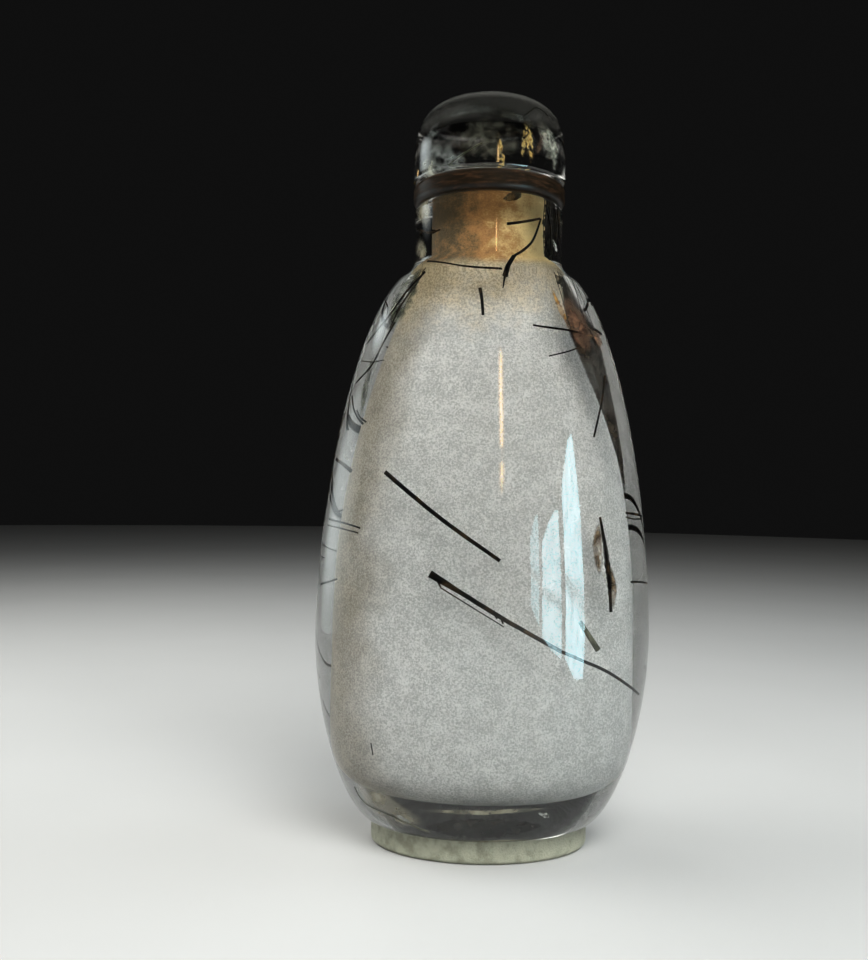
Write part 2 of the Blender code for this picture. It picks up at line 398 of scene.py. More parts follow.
def inner_rings():
    """The ground skin: the bore's edge, the bore, and the hollow down to its floor."""
    edge = corner((BORE_RADIUS + BORE_EDGE, LIP_HEIGHT - BORE_EDGE), BORE_EDGE, 90, 180)
    rings = [(out, out, height, 1.0) for out, height in edge]
    high = [BELLY_HEIGHT + (THROAT_HEIGHT - BELLY_HEIGHT) * s for s in shares(HOLLOW_STEPS)]
    low = [BELLY_HEIGHT - (BELLY_HEIGHT - FLOOR_HEIGHT) * s for s in shares(HOLLOW_STEPS)]
    rings += [(*hollow_half_sizes(h), h, 1.0) for h in high[::-1] + low[1:-1]]
    return rings + [(0.0, 0.0, FLOOR_HEIGHT, 1.0)]


def loft_tree():
    """Oval rings joined to one skin: each point of the line holds a ring's half sizes and height."""
    tree = bpy.data.node_groups.new("oval_loft", "GeometryNodeTree")
    tree.interface.new_socket("Line", in_out="INPUT", socket_type="NodeSocketGeometry")
    tree.interface.new_socket("Sides", in_out="INPUT", socket_type="NodeSocketInt")
    tree.interface.new_socket("Seam", in_out="INPUT", socket_type="NodeSocketFloat")
    tree.interface.new_socket("Polished finish", in_out="INPUT", socket_type="NodeSocketMaterial")
    tree.interface.new_socket("Ground finish", in_out="INPUT", socket_type="NodeSocketMaterial")
    tree.interface.new_socket("Skin", in_out="OUTPUT", socket_type="NodeSocketGeometry")
    line = Wire(tree).make("NodeGroupInput", out="Line")
    sides = line.port("Sides")
    count = line.make("GeometryNodeAttributeDomainSize", None, {"Geometry": line}, out="Point Count")
    grid = line.make("GeometryNodeMeshGrid", None, {"Vertices X": count, "Vertices Y": sides + 1})
    index = line.make("GeometryNodeInputIndex")
    ring = line.math("FLOOR", (index + 0.5) / (sides + 1))
    turn = (index - ring * (sides + 1)) * (2 * math.pi) / sides
    place = line.make("GeometryNodeInputPosition")
    size = line.make("GeometryNodeSampleIndex", {"data_type": "FLOAT_VECTOR"},
                     {"Geometry": line, "Value": place, "Index": ring})
    size = line.make("ShaderNodeSeparateXYZ", None, {0: size})
    held = line.make("GeometryNodeInputNamedAttribute", {"data_type": "FLOAT"}, {"Name": "ground"})
    ground = line.make("GeometryNodeSampleIndex", {"data_type": "FLOAT"},
                       {"Geometry": line, "Value": held, "Index": ring})
    x = size * line.math("COSINE", turn)
    y = size.port("Y") * line.math("SINE", turn)
    spot = line.make("ShaderNodeCombineXYZ", None, {"X": x, "Y": y, "Z": size.port("Z")})
    held = line.make("GeometryNodeStoreNamedAttribute", {"data_type": "FLOAT", "domain": "POINT"},
                     {"Geometry": grid, "Name": "ground", "Value": ground})
    held = line.make("GeometryNodeStoreNamedAttribute", {"data_type": "FLOAT", "domain": "POINT"},
                     {"Geometry": held, "Name": "side", "Value": line.math("COSINE", turn)})
    skin = line.make("GeometryNodeSetPosition", None, {"Geometry": held, "Position": spot})
    skin = line.make("GeometryNodeMergeByDistance", None,
                     {"Geometry": skin, "Distance": line.port("Seam")})
    skin = line.make("GeometryNodeSetShadeSmooth", None, {"Geometry": skin})
    skin = line.make("GeometryNodeRealizeInstances", None, {"Geometry": skin})
    skin = line.make("GeometryNodeSetMaterial", None,
                     {"Geometry": skin, "Material": line.port("Polished finish")})
    ground = line.make("GeometryNodeInputNamedAttribute", {"data_type": "FLOAT"}, {"Name": "ground"})
    skin = line.make("GeometryNodeSetMaterial", None, {
        "Geometry": skin, "Material": line.port("Ground finish"),
        "Selection": ground.math("GREATER_THAN", ground, GROUND_LEAST),
    })
    line.make("NodeGroupOutput", None, {"Skin": skin})
    return tree


def settle(piece, tree, values):
    """Runs a node tree on a piece, with its named inputs, and leaves the result as a plain mesh."""
    modifier = piece.modifiers.new("Rule", "NODES")
    modifier.node_group = tree
    for item in tree.interface.items_tree:
        if item.in_out == "INPUT" and item.name in values:
            modifier[item.identifier] = values[item.name]
    bpy.context.scene.collection.objects.link(piece)
    graph = bpy.context.evaluated_depsgraph_get()
    mesh = bpy.data.meshes.new_from_object(piece.evaluated_get(graph), depsgraph=graph)
    piece.modifiers.remove(modifier)
    mesh.name = piece.name
    piece.data = mesh
    return piece


def face_outwards(piece):
    """Turns every face of a closed piece outwards, after its doubles are merged."""
    skin = bmesh.new()
    skin.from_mesh(piece.data)
    bmesh.ops.remove_doubles(skin, verts=skin.verts, dist=SEAM)
    bmesh.ops.recalc_face_normals(skin, faces=skin.faces)
    skin.to_mesh(piece.data)
    skin.free()


oval_loft = loft_tree()


def loft(name, rings, sides, polished, ground=None):
    """A closed skin over oval rings: (half width, half depth, height), and 1 where it is ground."""
    line = bpy.data.meshes.new(name)
    line.from_pydata([ring[:3] for ring in rings], [], [])
    held = line.attributes.new("ground", "FLOAT", "POINT")
    held.data.foreach_set("value", [ring[3] if len(ring) > 3 else 0.0 for ring in rings])
    piece = bpy.data.objects.new(name, line)
    settle(piece, oval_loft, {
        "Sides": sides, "Seam": SEAM, "Polished finish": polished, "Ground finish": ground or polished,
    })
    face_outwards(piece)
    return piece


def polished_stone(name, smudge, low_tint, high_tint, heights):
    """Clear polished crystal, faintly wavy, a little smudged, its tint changing between two heights."""
    material, shader, place = finish(name, {"Transmission Weight": 1.0, "IOR": STONE_IOR})
    height = place.make("ShaderNodeSeparateXYZ", None, {0: place}).port("Z")
    cloud = place.noise(5 * MM, 3.0)
    tint = (height + (cloud - 0.5) * (3 * MM)).step(*heights).blend(low_tint, high_tint)
    paint(shader, Base_Color=tint, Roughness=place.noise(6 * MM, 4.0).step(0.45, 0.8) * smudge,
          Normal=place.noise(5 * MM, 1.0).relief(0.02 * MM))
    return material


def ground_stone():
    """The wheel-ground faces: a pale frost, darker down the left with painted shade, tan toward the neck
    and yellower at the foot. The bore is amber, as the cork in it shows through, with painted light making
    it paler gold toward the right."""
    material, shader, place = finish("ground_stone", {
        "Transmission Weight": 0.0, "IOR": STONE_IOR, "Roughness": 0.6,
    })
    grain = place.noise(0.16 * MM, 3.0, 0.8)
    mottle = place.noise(1.6 * MM, 4.0, 0.7)
    cloud = place.noise(5 * MM, 3.0)
    fleck = place.noise(0.8 * MM, 2.0)
    side = place.make("ShaderNodeAttribute", {"attribute_name": "side"}).port("Fac")
    height = place.make("ShaderNodeSeparateXYZ", None, {0: place}).port("Z")
    shade = (grain * 0.75 + mottle * 0.25).step(0.40, 0.60)
    frost = shade.blend(*FROST)
    # Painted shade: the frost turns darker and browner down the left side.
    left_shade = side + (cloud - 0.5) * 0.4
    skin = (left_shade.step(-0.62, -0.98) * 0.9).blend(frost, shade.blend(*LEFT_SHADE_TINTS))
    tan = (height + (cloud - 0.5) * (9 * MM) + (fleck - 0.5) * (3 * MM)).step(*TAN_HEIGHTS)
    skin = (tan * 0.85).blend(skin, shade.blend(*TAN))
    amber = (height + (cloud - 0.5) * (2 * MM)).step(*AMBER_HEIGHTS)
    # The gold is mottled, and paler toward the right side as painted light.
    gold_mottle_and_right_light = cloud * 0.35 + fleck * 0.35 + grain * 0.3 + side * 0.22
    gold = gold_mottle_and_right_light.step(0.28, 0.52).blend(BROWN, AMBER)
    gold = gold_mottle_and_right_light.step(0.48, 0.68).blend(gold, PALE_GOLD)
    skin = (amber * 0.96).blend(skin, gold)
    smudge = (fleck * 0.6 + cloud * 0.4).step(0.30, 0.58)
    foot = height.step(FOOT_HEIGHT + FOOT_TINT_FADE, FOOT_HEIGHT)
    skin = foot.blend(skin, smudge.blend(*FOOT_TINTS))
    paint(shader, Base_Color=skin, Normal=shade.relief(0.05 * MM))
    return material


flask_skin = polished_stone("polished_crystal", 0.02, CLEAR_LOW, CLEAR_HIGH, CLEAR_HEIGHTS)
flask = loft("flask", outer_rings() + inner_rings(), FLASK_SIDES, flask_skin, ground_stone())
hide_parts("crystal_flask")
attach(flask, "root")

# The needles: crystals of black tourmaline that grew in the rock crystal before it was cut, so that some
# end at its skin. They are finer than a bristle and crooked, and a thin sheaf fans down each shoulder.
PIXEL = 0.080 * MM
FIRST_REACH = 76 * MM
LAST_REACH = 104 * MM
REACH_STEP = 0.4 * MM
HALVINGS = 12
SLOPE_STEP = 0.01 * MM
NEEDLE_SIDES = 8
NEEDLE_STEP = 0.2 * MM
NEEDLE_TIP = 0.6
FLOOR_CLEARANCE = 0.3 * MM
FAN_UNEVENNESS = 0.4
FAN_ROOT_PIXELS = 2
FAN_TIP_PIXELS = 4
FAN_BOW_PIXELS = 1.5
WALL_SHARES = (0.25, 0.75)
BACK_LEAN = -36
BACK_LEAN_SPREAD = 20
TOURMALINE_IOR = 1.64
NEEDLE_BLACK = (0.006, 0.006, 0.006)
NEEDLE_BROWN = (0.060, 0.038, 0.020)
OLIVE_DARK = (0.055, 0.058, 0.040)
OLIVE_LIGHT = (0.16, 0.16, 0.11)


def skin_half_sizes(height):
    """Half width and half depth of the polished skin at any height of the flask."""
    if height > SHOULDER_HEIGHT:
        return NECK_RADIUS, NECK_RADIUS
    if height < FOOT_HEIGHT:
        return FOOT_WIDTH / 2, FOOT_DEPTH / 2
    return body_half_sizes(height)


def outside(place, half_sizes):
    """Above 0 outside an upright oval skin, and below 0 inside it."""
    half_width, half_depth = half_sizes(place.z)
    return math.hypot(place.x / half_width, place.y / half_depth) - 1.0


def under_pixel(pixel, depth, half_sizes=skin_half_sizes):
    """The place in the stone seen at a pixel, that deep along the line of sight as the skin bends it."""
    ray = sight(pixel)
    reach = FIRST_REACH
    while reach < LAST_REACH and outside(EYE + ray * reach, half_sizes) > 0.0:
        reach += REACH_STEP
    step = REACH_STEP
    for i in range(HALVINGS):
        step /= 2
        reach += step if outside(EYE + ray * reach, half_sizes) > 0.0 else -step
    skin = EYE + ray * reach
    steps = Matrix.Identity(3) * SLOPE_STEP
    slope = Vector([outside(skin + step, half_sizes) - outside(skin - step, half_sizes)
                    for step in steps])
    slope.normalize()
    facing = -ray.dot(slope)
    ratio = 1 / STONE_IOR
    bent = ray * ratio + slope * (ratio * facing - math.sqrt(1 - ratio**2 * (1 - facing**2)))
    return skin + bent * depth


def hollow_skin(height):
    """Half width and half depth of the ground hollow or bore at a height."""
    if height > THROAT_HEIGHT:
        return BORE_RADIUS, BORE_RADIUS
    return hollow_half_sizes(max(height, FLOOR_HEIGHT))


def in_stone(place, spare=0.03):
    """Whether a place is inside the stone of the flask and clear of both skins."""
    if not FOOT_HEIGHT < place.z < LIP_HEIGHT - LIP_ROUNDING:
        return False
    clear_of_hollow = place.z < FLOOR_HEIGHT - FLOOR_CLEARANCE or outside(place, hollow_skin) > spare
    return clear_of_hollow and outside(place, skin_half_sizes) < -spare


def tube_tree():
    """Crooked tapering tubes along lines, whose points hold their own radius."""
    tree = bpy.data.node_groups.new("needle_tubes", "GeometryNodeTree")
    for name, kind in (("Lines", "Geometry"), ("Sides", "Int"), ("Step", "Float"), ("Crook", "Float"),
                       ("Bend size", "Float"), ("Seed", "Float"), ("Finish", "Material")):
        tree.interface.new_socket(name, in_out="INPUT", socket_type="NodeSocket" + kind)
    tree.interface.new_socket("Tubes", in_out="OUTPUT", socket_type="NodeSocketGeometry")
    line = Wire(tree).make("NodeGroupInput", out="Lines")
    curve = line.make("GeometryNodeMeshToCurve", None, {"Mesh": line})
    curve = line.make("GeometryNodeCurveSplineType", {"spline_type": "CATMULL_ROM"}, {"Curve": curve})
    curve = line.make("GeometryNodeResampleCurve", {"mode": "LENGTH"},
                      {"Curve": curve, "Length": line.port("Step")})
    place = line.make("GeometryNodeInputPosition")
    shake = line.make("ShaderNodeTexNoise", {"noise_dimensions": "4D"}, {
        "Vector": place, "W": line.port("Seed"), "Detail": 3.0,
        "Scale": line.math("DIVIDE", 1.0, line.port("Bend size")),
    }, out="Color")
    shake = line.make("ShaderNodeVectorMath", {"operation": "SUBTRACT"}, {0: shake, 1: (0.5, 0.5, 0.5)})
    shake = line.make("ShaderNodeVectorMath", {"operation": "SCALE"},
                      {0: shake, "Scale": line.port("Crook")})
    curve = line.make("GeometryNodeSetPosition", None, {"Geometry": curve, "Offset": shake})
    ring = line.make("GeometryNodeCurvePrimitiveCircle", None,
                     {"Resolution": line.port("Sides"), "Radius": 1.0})
    radius = line.make("GeometryNodeInputNamedAttribute", {"data_type": "FLOAT"}, {"Name": "thickness"})
    tubes = line.make("GeometryNodeCurveToMesh", None,
                      {"Curve": curve, "Profile Curve": ring, "Scale": radius, "Fill Caps": True})
    tubes = line.make("GeometryNodeSetShadeSmooth", None, {"Geometry": tubes})
    tubes = line.make("GeometryNodeRealizeInstances", None, {"Geometry": tubes})
    tubes = line.make("GeometryNodeSetMaterial", None,
                      {"Geometry": tubes, "Material": line.port("Finish")})
    line.make("NodeGroupOutput", None, {"Tubes": tubes})
    return tree


needle_tubes = tube_tree()


def grow(name, needles, finish_used, crook=0.06 * MM, bend_size=1.5 * MM, seed=1.0):
    """One piece of many needles. Each is a list of (place, radius)."""
    lines = bpy.data.meshes.new(name)
    places = [place for needle in needles for place, radius in needle]
    edges, first = [], 0
    for needle in needles:
        edges += [(first + i, first + i + 1) for i in range(len(needle) - 1)]
        first += len(needle)
    lines.from_pydata(places, edges, [])
    held = lines.attributes.new("thickness", "FLOAT", "POINT")
    held.data.foreach_set("value", [radius for needle in needles for place, radius in needle])
    piece = bpy.data.objects.new(name, lines)
    settle(piece, needle_tubes, {
        "Sides": NEEDLE_SIDES, "Step": NEEDLE_STEP, "Crook": crook, "Bend size": bend_size,
        "Seed": seed, "Finish": finish_used,
    })
    face_outwards(piece)
    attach(piece, "root")
    return piece


def seen(pixels, widths, depth, half_sizes=skin_half_sizes):
    """A needle through those pixels, as wide as stated in pixels at its start and at its end."""
    count = len(pixels) - 1
    needle = []
    for i, pixel in enumerate(pixels):
        width = widths[0] + (widths[1] - widths[0]) * i / count
        needle.append((under_pixel(pixel, depth, half_sizes), width * PIXEL / 2))
    return needle


def fan(draw, count, starts, ends, widths, depths):
    """Fine needles from between two pixels to between two others, each at a depth of its own."""
    fibres = []
    for i in range(count):
        share = (i + draw.uniform(-FAN_UNEVENNESS, FAN_UNEVENNESS)) / (count - 1)
        start = [a + (b - a) * share + draw.uniform(-FAN_ROOT_PIXELS, FAN_ROOT_PIXELS)
                 for a, b in zip(*starts)]
        end = [a + (b - a) * share + draw.uniform(-FAN_TIP_PIXELS, FAN_TIP_PIXELS)
               for a, b in zip(*ends)]
        middle = [(a + b) / 2 + draw.uniform(-FAN_BOW_PIXELS, FAN_BOW_PIXELS)
                  for a, b in zip(start, end)]
        width = draw.uniform(*widths)
        fibres.append(seen((start, middle, end), (width, width / 2), draw.uniform(*depths)))
    return fibres


def grown_through(draw, count, turns, heights, lengths, radii):
    """Straight needles in the walls between two bearings, most leaning one way, cut where stone ends."""
    needles = []
    while len(needles) < count:
        turn = math.radians(draw.uniform(*turns))
        height = draw.uniform(*heights)
        share = draw.uniform(*WALL_SHARES)
        skin, hollow = skin_half_sizes(height), hollow_skin(height)
        sizes = [a + (b - a) * share for a, b in zip(skin, hollow)]
        middle = Vector((sizes[0] * math.sin(turn), -sizes[1] * math.cos(turn), height))
        along = Vector((math.cos(turn) * sizes[0], math.sin(turn) * sizes[1], 0.0)).normalized()
        lean = math.radians(draw.gauss(BACK_LEAN, BACK_LEAN_SPREAD))
        way = along * math.cos(lean) + Vector((0.0, 0.0, math.sin(lean)))
        reach = draw.uniform(*lengths) / 2
        ends = []
        for side in (-1, 1):
            far = 0.0
            while far < reach and in_stone(middle + way * (side * (far + NEEDLE_STEP))):
                far += NEEDLE_STEP
            ends.append(middle + way * (side * far))
        if (ends[1] - ends[0]).length > lengths[0] / 2:
            radius = draw.uniform(*radii)
            needles.append([(ends[0], radius), (middle, radius), (ends[1], radius * NEEDLE_TIP)])
    return needles


def tourmaline(name, black, brown, roughness):
    """A needle's skin: near black, brown where it thins, with fine lengthwise flutes."""
    material, shader, place = finish(name, {"IOR": TOURMALINE_IOR / STONE_IOR})
    cloud = place.noise(1.3 * MM, 3.0)
    flute = place.noise(0.12 * MM, 2.0)
    paint(shader, Base_Color=cloud.step(0.45, 0.75).blend(black, brown),
          Roughness=flute * 0.3 + roughness, Normal=flute.relief(0.02 * MM))
    return material


needle_skin = tourmaline("black_tourmaline", NEEDLE_BLACK, NEEDLE_BROWN, 0.25)
olive_skin = tourmaline("olive_tourmaline", OLIVE_DARK, OLIVE_LIGHT, 0.3)

# On the broad face two long needles slope down to the right, a bent one hangs at the neck's root, and
# short ones lie across both side walls.
front_needles = [
    seen(((385, 472), (440, 518), (500, 561)), (4.8, 4.2), 1.3 * MM),
    seen(((430, 574), (445, 583), (458, 591)), (8.0, 5.0), 1.3 * MM),
    seen(((455, 589), (505, 620), (560, 651)), (5.0, 4.2), 1.3 * MM),
    seen(((560, 651), (583, 661), (604, 670), (622, 681), (639, 694)), (3.6, 3.0), 1.3 * MM),
    seen(((441, 588), (470, 606), (504, 627)), (1.5, 1.2), 1.6 * MM),
    seen(((436, 577), (441, 588)), (3.5, 1.5), 1.2 * MM),
    seen(((493, 611), (497, 619)), (3.5, 1.5), 1.2 * MM),
    seen(((501, 617), (503, 624)), (3.0, 1.5), 1.2 * MM),
    seen(((533, 325), (553, 328), (573, 331), (592, 336)), (2.0, 3.0), 1.1 * MM),
    seen(((549, 356), (566, 352), (581, 347)), (1.4, 1.8), 1.4 * MM),
    seen(((605, 376), (602, 400), (594, 437)), (3.0, 2.4), 1.2 * MM),
    seen(((480, 288), (482, 300), (483, 315)), (3.6, 3.0), 1.0 * MM),
    seen(((600, 517), (605, 545), (609, 580), (611, 612)), (3.0, 4.0), 1.2 * MM),
    seen(((507, 224), (523, 222), (540, 219)), (3.2, 2.6), 1.0 * MM),
    seen(((541, 219), (532, 242), (514, 257)), (2.4, 3.4), 1.0 * MM),
    seen(((514, 257), (508, 266), (505, 276)), (4.4, 6.0), 1.0 * MM),
    seen(((505, 275), (504, 281), (503, 288)), (3.0, 1.2), 1.0 * MM),
    seen(((428, 264), (462, 266), (502, 269)), (3.0, 2.0), 0.9 * MM),
    seen(((417, 229), (428, 233), (440, 230)), (3.5, 2.0), 1.0 * MM),
    seen(((546, 205), (551, 232), (549, 262)), (3.0, 2.0), 1.0 * MM),
    seen(((557, 222), (556, 240), (552, 262)), (2.0, 3.0), 0.8 * MM),
]
left_needles = [
    seen(((425, 272), (407, 291), (388, 317), (367, 344)), (3.0, 3.0), 1.0 * MM),
    seen(((418, 282), (402, 304), (390, 328)), (2.0, 1.4), 1.6 * MM),
    seen(((395, 322), (383, 343), (371, 366), (356, 383)), (2.6, 2.4), 1.3 * MM),
    seen(((385, 300), (388, 307), (387, 315)), (1.8, 1.6), 0.8 * MM),
    seen(((361, 361), (372, 362), (384, 360)), (1.4, 1.0), 1.2 * MM),
    seen(((352, 396), (354, 409), (358, 418), (363, 424)), (2.4, 2.8), 1.0 * MM),
    seen(((357, 410), (360, 417), (366, 422)), (1.8, 2.2), 1.5 * MM),
    seen(((336, 459), (343, 464), (351, 471)), (4.0, 5.0), 1.2 * MM),
    seen(((335, 511), (339, 511), (343, 510)), (3.0, 2.0), 1.0 * MM),
    seen(((329, 519), (344, 523), (360, 528)), (2.4, 2.0), 1.0 * MM),
    seen(((328, 525), (343, 529), (358, 533)), (2.0, 1.6), 1.0 * MM),
    seen(((321, 584), (328, 582), (337, 579)), (2.6, 2.2), 0.8 * MM),
    seen(((371, 743), (372, 749), (373, 755)), (1.6, 1.4), 1.0 * MM),
]
right_needles = [
    seen(((626, 513), (634, 514), (642, 516)), (2.8, 2.4), 0.8 * MM),
    seen(((626, 517), (634, 519), (641, 519)), (1.6, 1.4), 1.2 * MM),
    seen(((631, 582), (639, 582), (647, 583)), (2.4, 2.0), 0.8 * MM),
]
grow("front_needles", front_needles + left_needles + right_needles, needle_skin)
grow("olive_needle", [seen(((580, 622), (589, 636), (598, 650)), (5.0, 6.5), 1.3 * MM)], olive_skin)

# Thin sheaves fan down the right shoulder, down the left one, and down the right of the neck.
draw = random.Random(7)
sheaf = []
for count, starts, ends, widths, depths in (
    (6, ((556, 272), (574, 280)), ((580, 346), (600, 356)), (0.8, 1.5), (0.9 * MM, 1.8 * MM)),
    (7, ((426, 268), (418, 276)), ((392, 322), (382, 330)), (0.8, 1.6), (0.8 * MM, 2.2 * MM)),
    (9, ((545, 200), (560, 196)), ((546, 258), (562, 262)), (1.0, 2.4), (0.7 * MM, 2.2 * MM)),
):
    sheaf += fan(draw, count, starts, ends, widths, depths)
grow("needle_sheaf", sheaf, needle_skin, crook=0.14 * MM, bend_size=4 * MM, seed=3.0)

# The back holds needles too, fewer than the front. Bearings are in degrees from the side that is seen.
BACK_COUNT = 13
BACK_BEARINGS = (150, 210)
BACK_HEIGHTS = (9 * MM, 48 * MM)
BACK_LENGTHS = (4 * MM, 14 * MM)
BACK_RADII = (0.05 * MM, 0.17 * MM)
back = grown_through(draw, BACK_COUNT, BACK_BEARINGS, BACK_HEIGHTS, BACK_LENGTHS, BACK_RADII)
grow("back_needles", back, needle_skin, seed=5.0)

# Healed cracks and stains: thin leaves in the stone, thickest in their middle, with ragged edges. They are
# pale where they are clean, and gold and rust at the right shoulder, where iron has stained them. The dark
# ones in the shoulders, the neck and the base are partly painted shade: they keep the clear stone dark over
# a pale table.
LEAF_THICKNESS = 0.05 * MM
LEAF_ROWS = 5
LEAF_STEP = 2.0
LEAF_LEAST_STEPS = 6
LEAF_TIP = 0.3
LEAF_RIPPLE = 0.3
LEAF_SEED = 11


def along(points, share):
    """The place at a share of the way along a line of points, and the direction of the line there."""
    legs = [math.dist(a, b) for a, b in zip(points, points[1:])]
    run = sum(legs) * share
    for a, b, leg in zip(points, points[1:], legs):
        if run <= leg or b is points[-1]:
            break
        run -= leg
    way = [(q - p) / leg for p, q in zip(a, b)]
    return [p + w * min(run, leg) for p, w in zip(a, way)], way


def leaf(name, skin, strokes, half_sizes=skin_half_sizes, ragged=0.3):
    """One piece of thin leaves, each of them (pixels along it, width in pixels, depths at its edges)."""
    draw = random.Random(LEAF_SEED)
    shell = bmesh.new()
    fades = []
    for pixels, widths, depths in strokes:
        length = sum(math.dist(a, b) for a, b in zip(pixels, pixels[1:]))
        columns = max(LEAF_LEAST_STEPS, int(length / LEAF_STEP))
        widths = widths if isinstance(widths, tuple) else (widths, widths)
        rows = []
        for i in range(columns + 1):
            middle, way = along(pixels, i / columns)
            at = i / columns * (len(widths) - 1)
            low = min(int(at), len(widths) - 2)
            width = widths[low] + (widths[low + 1] - widths[low]) * (at - low)
            taper = math.sin(math.pi * (i + LEAF_TIP) / (columns + 2 * LEAF_TIP))
            half = width / 2 * taper**0.6 * draw.uniform(1.0 - ragged, 1.0 + ragged / 2)
            row = []
            for j in range(-LEAF_ROWS, LEAF_ROWS + 1):
                share = j / LEAF_ROWS
                pixel = (middle[0] - way[1] * half * share, middle[1] + way[0] * half * share)
                depth = depths[0] + (depths[1] - depths[0]) * (share + 1) / 2
                depth += draw.uniform(-LEAF_RIPPLE, LEAF_RIPPLE) * LEAF_THICKNESS
                swell = LEAF_THICKNESS / 2 * math.sqrt(1.0 - 0.98 * share**2)
                row.append([shell.verts.new(under_pixel(pixel, depth + side * swell, half_sizes))
                            for side in (-1, 1)])
                fades += [taper * (1.0 - share**2)] * 2
            rows.append(row)
        for low, high in zip(rows, rows[1:]):
            for a, b, c, d in zip(low, low[1:], high, high[1:]):
                shell.faces.new((a[0], b[0], d[0], c[0]))
                shell.faces.new((a[1], c[1], d[1], b[1]))
            for edge in (0, -1):
                shell.faces.new((low[edge][0], low[edge][1], high[edge][1], high[edge][0]))
        for row in (rows[0], rows[-1]):
            for a, b in zip(row, row[1:]):
                shell.faces.new((a[0], a[1], b[1], b[0]))
    bmesh.ops.recalc_face_normals(shell, faces=shell.faces)
    mesh = bpy.data.meshes.new(name)
    shell.to_mesh(mesh)
    shell.free()
    mesh.attributes.new("fade", "FLOAT", "POINT").data.foreach_set("value", fades)
    mesh.shade_smooth()
    mesh.materials.append(skin)
    piece = bpy.data.objects.new(name, mesh)
    bpy.context.scene.collection.objects.link(piece)
    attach(piece, "root")
    return piece


def crack_skin(name, dark, light, thinnest, thickest, size=0.5 * MM, soft=0.4):
    """A crack's film: two colours in blots, denser in some places, thinning out over its soft share."""
    material, shader, place = finish(name, {"Roughness": 0.35, "IOR": 1.1})
    blot = place.noise(size, 4.0, 0.6)
    film = place.noise(size * 2.2, 3.0, 0.6).step(0.38, 0.62) * (thickest - thinnest) + thinnest
    fade = place.make("ShaderNodeAttribute", {"attribute_name": "fade"}).port("Fac").step(0.0, soft)
    paint(shader, Base_Color=blot.step(0.35, 0.65).blend(dark, light), Alpha=film * fade,
          Normal=blot.relief(0.03 * MM))
    return material


gold_film = crack_skin("gold_film", (0.34, 0.16, 0.04), (0.80, 0.50, 0.17), 0.25, 0.85, 0.9 * MM, 0.7)
rust_film = crack_skin("rust_film", (0.075, 0.042, 0.028), (0.26, 0.15, 0.095), 0.55, 0.9, 1.1 * MM, 0.8)
pale_film = crack_skin("pale_film", (0.55, 0.56, 0.52), (0.95, 0.95, 0.92), 0.05, 0.8, 0.35 * MM, 0.2)
olive_crack_and_shade_film = crack_skin("olive_crack_and_shade_film", (0.04, 0.042, 0.03), (0.16, 0.17, 0.125), 0.4, 0.85, 0.9 * MM,
                        0.7)
dark_crack_and_shade_film = crack_skin("dark_crack_and_shade_film", (0.004, 0.004, 0.004), (0.03, 0.028, 0.02), 0.5, 0.98, soft=0.25)
smoke_and_shade_film = crack_skin("smoke_and_shade_film", (0.010, 0.009, 0.007), (0.06, 0.05, 0.04), 0.7, 0.97, 1.2 * MM)

leaf("gold_leaves", gold_film, [
    (((551, 286), (558, 304), (566, 320), (574, 330)), 6, (1.0 * MM, 1.5 * MM)),
])
leaf("rust_leaves", rust_film, [
    (((564, 296), (576, 322), (590, 354)), 24, (0.8 * MM, 1.2 * MM)),
    (((594, 330), (602, 348)), 9, (0.7 * MM, 0.9 * MM)),
])
leaf("pale_leaves", pale_film, [
    (((409, 291), (398, 303), (388, 317)), 3, (1.0 * MM, 1.2 * MM)),
    (((344, 455), (348, 460)), 3.5, (0.8 * MM, 1.0 * MM)),
    (((416, 835), (420, 841), (427, 848)), 2.5, (0.8 * MM, 1.0 * MM)),
    (((424, 834), (428, 841), (433, 849)), 2.5, (0.8 * MM, 1.0 * MM)),
    (((394, 815), (403, 819), (411, 823)), 5, (0.9 * MM, 1.1 * MM)),
    (((538, 812), (549, 817)), 6, (1.4 * MM, 1.6 * MM)),
    (((558, 290), (563, 287)), 3, (0.7 * MM, 0.8 * MM)),
    (((553, 240), (557, 252)), 3, (0.6 * MM, 0.7 * MM)),
    (((598, 545), (603, 570), (608, 590)), 4, (1.0 * MM, 1.1 * MM)),
])
haze_film = crack_skin("haze_film", (0.34, 0.31, 0.22), (0.62, 0.58, 0.45), 0.2, 0.7, 1.2 * MM, 0.8)
leaf("haze_leaves", haze_film, [
    (((426, 194), (423, 210), (426, 228)), 16, (0.5 * MM, 0.7 * MM)),
    (((420, 240), (421, 250), (422, 262)), 12, (0.5 * MM, 0.7 * MM)),
    (((356, 778), (372, 798), (398, 816), (426, 822)), (16, 26, 28, 26), (0.8 * MM, 1.2 * MM)),
    (((412, 810), (482, 813), (556, 808)), 6, (0.6 * MM, 0.8 * MM)),
    (((424, 839), (482, 842), (546, 839)), 3, (0.5 * MM, 0.6 * MM)),
], ragged=0.05)
bronze_film = crack_skin("bronze_film", (0.1, 0.065, 0.035), (0.34, 0.25, 0.16), 0.35, 0.85, 0.9 * MM,
                         0.7)
leaf("bronze_leaves", bronze_film, [
    (((600, 519), (597, 545), (600, 577)), 11, (1.3 * MM, 1.6 * MM)),
    (((609, 563), (613, 588), (613, 610)), 9, (1.3 * MM, 1.5 * MM)),
], ragged=0.1)
# Dark olive leaves down the left shoulder and wall: partly olive cracks, partly painted shade.
leaf("olive_cracks_and_painted_shade", olive_crack_and_shade_film, [
    (((424, 264), (408, 290), (387, 334)), (10, 20, 22, 18), (1.2 * MM, 2.2 * MM)),
    (((420, 238), (423, 250), (424, 261)), 9, (0.8 * MM, 1.2 * MM)),
    (((374, 352), (366, 385), (360, 420)), 7, (2.0 * MM, 2.6 * MM)),
])
